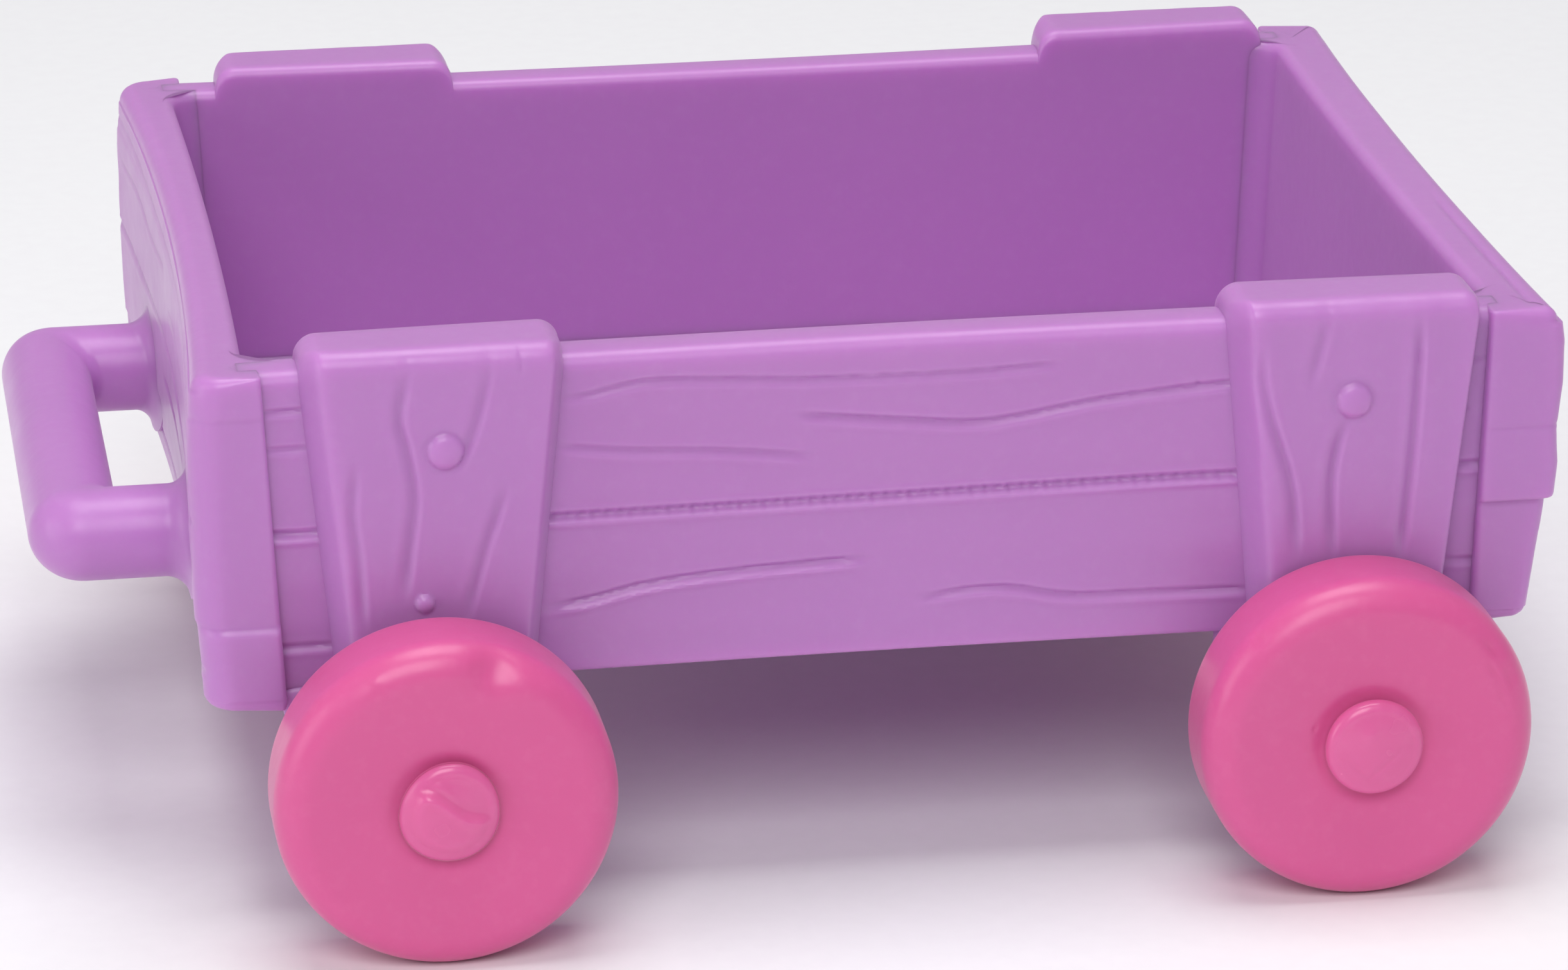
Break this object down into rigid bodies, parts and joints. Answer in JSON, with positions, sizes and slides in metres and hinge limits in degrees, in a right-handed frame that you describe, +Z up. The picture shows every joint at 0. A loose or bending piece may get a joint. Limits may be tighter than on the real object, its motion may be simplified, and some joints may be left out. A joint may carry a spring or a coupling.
{
  "type": "toy mine cart",
  "caption": "Open plank-sided toy mine cart with tapered strap boards, domed nail heads, a U-shaped pull handle and free-rolling disc wheels on headed axles.",
  "frame": {"origin": "centre of the overall footprint, on the ground under the wheels", "axes": "+X along the cart, away from the pull handle; +Y across the cart, from the near side to the far side; +Z up"},
  "size_m": [0.0674, 0.0588, 0.0267],
  "materials": {
    "body_plastic": "semi-gloss lilac polyethylene",
    "wheel_plastic": "satin pink polypropylene",
    "axle_plastic": "satin pink polypropylene, slightly paler than the wheels"
  },
  "bodies": {
    "cart": {"cart_body": "body_plastic"},
    "front_axle": {"axle_front": "axle_plastic"},
    "rear_axle": {"axle_rear": "axle_plastic"},
    "front_near_wheel": {"wheel_front_near": "wheel_plastic"},
    "front_far_wheel": {"wheel_front_far": "wheel_plastic"},
    "rear_near_wheel": {"wheel_rear_near": "wheel_plastic"},
    "rear_far_wheel": {"wheel_rear_far": "wheel_plastic"}
  },
  "joints": [
    {"name": "front_axle_spin", "type": "hinge", "parent": "cart", "child": "front_axle", "pos_m": [-0.01688, 0, 0.0075], "axis": [0, 1, 0], "continuous": true},
    {"name": "rear_axle_spin", "type": "hinge", "parent": "cart", "child": "rear_axle", "pos_m": [0.02413, 0, 0.0075], "axis": [0, 1, 0], "continuous": true},
    {"name": "front_near_wheel_spin", "type": "hinge", "parent": "front_axle", "child": "front_near_wheel", "pos_m": [-0.01688, 0, 0.0075], "axis": [0, 1, 0], "continuous": true},
    {"name": "front_far_wheel_spin", "type": "hinge", "parent": "front_axle", "child": "front_far_wheel", "pos_m": [-0.01688, 0, 0.0075], "axis": [0, 1, 0], "continuous": true},
    {"name": "rear_near_wheel_spin", "type": "hinge", "parent": "rear_axle", "child": "rear_near_wheel", "pos_m": [0.02413, 0, 0.0075], "axis": [0, 1, 0], "continuous": true},
    {"name": "rear_far_wheel_spin", "type": "hinge", "parent": "rear_axle", "child": "rear_far_wheel", "pos_m": [0.02413, 0, 0.0075], "axis": [0, 1, 0], "continuous": true}
  ]
}
